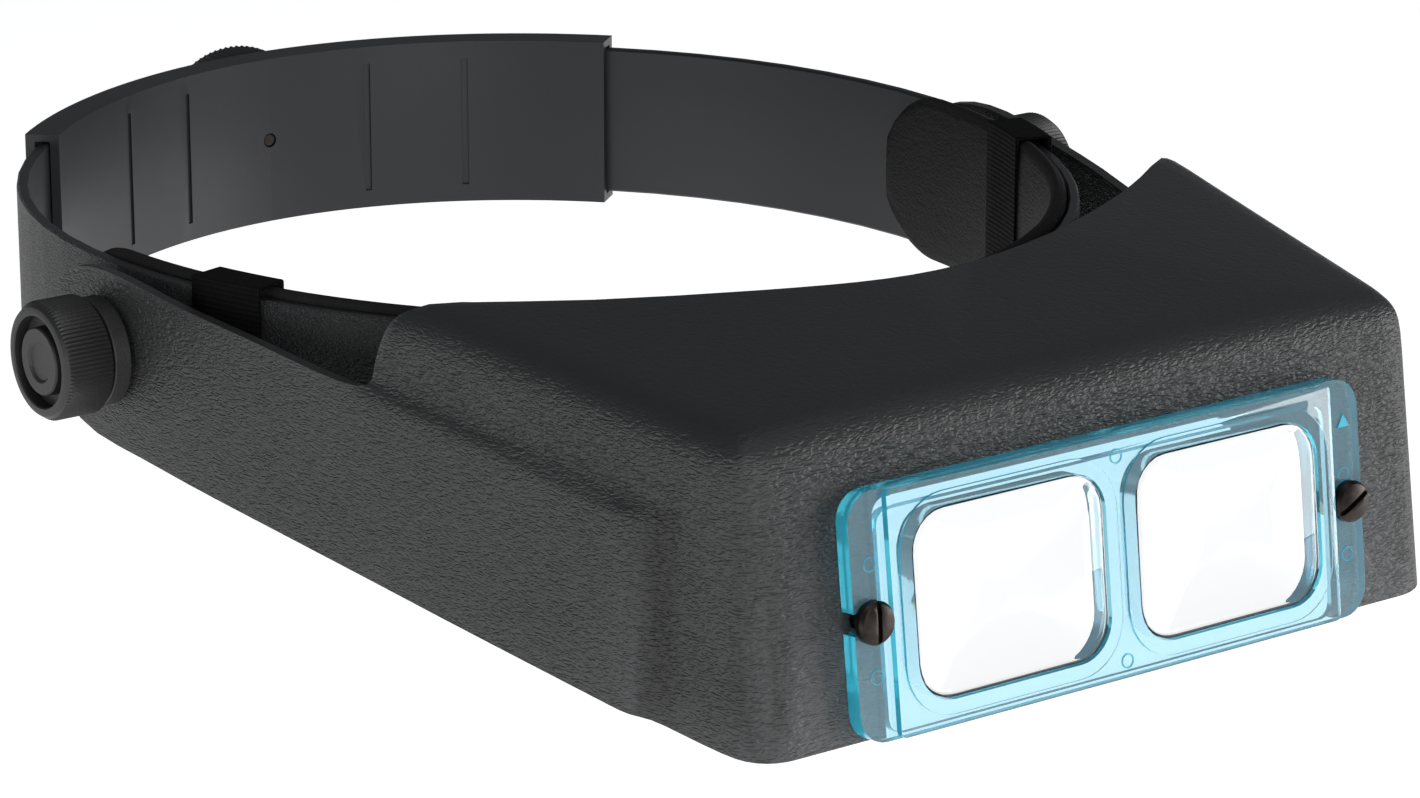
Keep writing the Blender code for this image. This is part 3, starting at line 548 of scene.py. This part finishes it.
def makeSweatband():
    look = sweatLook
    half = look["tall"] / 2
    roundDegrees = math.degrees(half / bandShape["halfLength"])
    bm = bmesh.new()
    for layer in (0, 1):
        made = bmesh.ops.create_grid(bm, x_segments=look["columns"], y_segments=look["rows"], size=1.0)
        for vertex in made["verts"]:
            u, v = vertex.co.x, vertex.co.y
            along = abs(u) * look["endAngle"]
            angle = u * look["endAngle"]
            inside = max(0.0, along - (look["endAngle"] - roundDegrees)) / roundDegrees
            tall = half * math.sqrt(max(0.0004, 1 - inside ** 2))
            rise = math.sin(v * math.pi / 2)
            fromEdge = min(tall * (1 - abs(rise)), (1 - inside) * half if inside > 0 else half)
            swell = math.sqrt(max(0.0, 1 - (1 - min(1.0, fromEdge / look["rounding"])) ** 2))
            puff = look["puff"] * (1 - rise ** 2) if layer else 0.0
            toSeam = (fromEdge - look["seamInset"]) / look["seamWidth"]
            seam = look["seamDepth"] * math.exp(-toSeam ** 2) if layer else 0.0
            middle = look["outside"] - look["thick"] / 2
            reach = (look["thick"] / 2) * swell
            out = middle - reach - puff * swell + seam if layer else middle + reach
            vertex.co = onBand(angle, out, tall * rise)
    rims = [edge for edge in bm.edges if edge.is_boundary]
    bmesh.ops.bridge_loops(bm, edges=rims)
    bmesh.ops.remove_doubles(bm, verts=bm.verts, dist=0.02 * mm)
    bmesh.ops.recalc_face_normals(bm, faces=bm.faces)
    piece = finishPiece("sweatband_piece", bm, bodyOf["sweatband"], "leather", 70)
    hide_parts("sweatband")
    paintFaces(piece, "cutEdge", lambda centre, normal: abs(centre.z) > half - look["cutEdge"])


makeSweatband()
print("sweatband made")

# keeper loops, fastenings and washers
for side in ("left", "right"):
    mergedCopy("keeper_loop_" + side, 0.45 * mm, 40, joinFlats=False, bevelAngle=50, segments=3)
    mergedCopy("pivot_bolt_" + side, 0.15 * mm)
    mergedCopy("friction_washer_" + side, 0.0)
    mergedCopy("knob_washer_" + side, 0.15 * mm)
    mergedCopy("knob_insert_" + side, 0.0)
    mergedCopy("plate_screw_" + side, 0.14 * mm)
    mergedCopy("plate_nut_" + side, 0.15 * mm)
for node in ("clamp_plate", "rear_bolt", "rear_spacer", "rear_knob_insert"):
    mergedCopy(node, 0.1 * mm)
print("fastenings made")

# floor, light and camera
floorLook = {"height": -0.30, "size": 90.0, "shade": 0.80, "glow": 1.0}
lightTarget = Vector((0, -0.03, 0))
lights = {
    "keyLight": {"at": (-0.5, -1.7, 0.45), "size": (1.2, 0.7), "watts": 16.0},
    "sideLight": {"at": (-1.7, -0.1, 0.05), "size": (1.0, 0.6), "watts": 6.8},
    "fillLight": {"at": (1.5, -1.0, 0.15), "size": (0.9, 0.9), "watts": 17.5},
    "topLight": {"at": (0.1, -0.5, 1.6), "size": (1.2, 0.8), "watts": 2.5},
}


def makeFloor():
    bm = bmesh.new()
    bmesh.ops.create_grid(bm, x_segments=2, y_segments=2, size=floorLook["size"] / 2,
                          matrix=Matrix.Translation((0, 0, floorLook["height"])))
    mesh = bpy.data.meshes.new("floor")
    bm.to_mesh(mesh)
    bm.free()
    made, wire = newMaterial("paleFloor")
    pale = colour(floorLook["shade"], floorLook["shade"], floorLook["shade"])
    shader = wire.add("BsdfPrincipled", None, {
        "Base Color": pale, "Roughness": 0.9, "Emission Color": pale,
        "Emission Strength": floorLook["glow"], "Specular IOR Level": 0.0})
    close(made, shader)
    mesh.materials.append(made)
    floor = bpy.data.objects.new("floor", mesh)
    bpy.context.scene.collection.objects.link(floor)


def makeLight(name, look):
    data = bpy.data.lights.new(name, "AREA")
    data.shape = "RECTANGLE"
    data.size, data.size_y = look["size"]
    data.energy = look["watts"]
    made = bpy.data.objects.new(name, data)
    made.location = look["at"]
    aim = lightTarget - Vector(look["at"])
    made.rotation_euler = aim.to_track_quat("-Z", "Y").to_euler()
    bpy.context.scene.collection.objects.link(made)


makeFloor()
for name, look in lights.items():
    makeLight(name, look)
roomLook = {"colour": (0.93, 0.96, 1.0), "strength": 0.16}
world = bpy.data.worlds.new("softRoom")
world.use_nodes = True
room = world.node_tree.nodes["Background"].inputs
room["Color"].default_value = colour(*roomLook["colour"])
room["Strength"].default_value = roomLook["strength"]
bpy.context.scene.world = world
bpy.context.scene.view_settings.view_transform = "Standard"

cameraLook = {"at": (-0.527544, -0.761958, 0.257575), "turn": -36.667, "tilt": 17.186, "lens": 133.6}
turn, tilt = math.radians(cameraLook["turn"]), math.radians(cameraLook["tilt"])
gaze = Vector((-math.sin(turn) * math.cos(tilt), math.cos(turn) * math.cos(tilt), -math.sin(tilt)))
cameraData = bpy.data.cameras.new("viewer")
cameraData.lens = cameraLook["lens"]
cameraData.sensor_width = 36.0
viewer = bpy.data.objects.new("viewer", cameraData)
viewer.location = cameraLook["at"]
viewer.rotation_euler = gaze.to_track_quat("-Z", "Y").to_euler()
bpy.context.scene.collection.objects.link(viewer)
bpy.context.scene.camera = viewer
print("stage set")
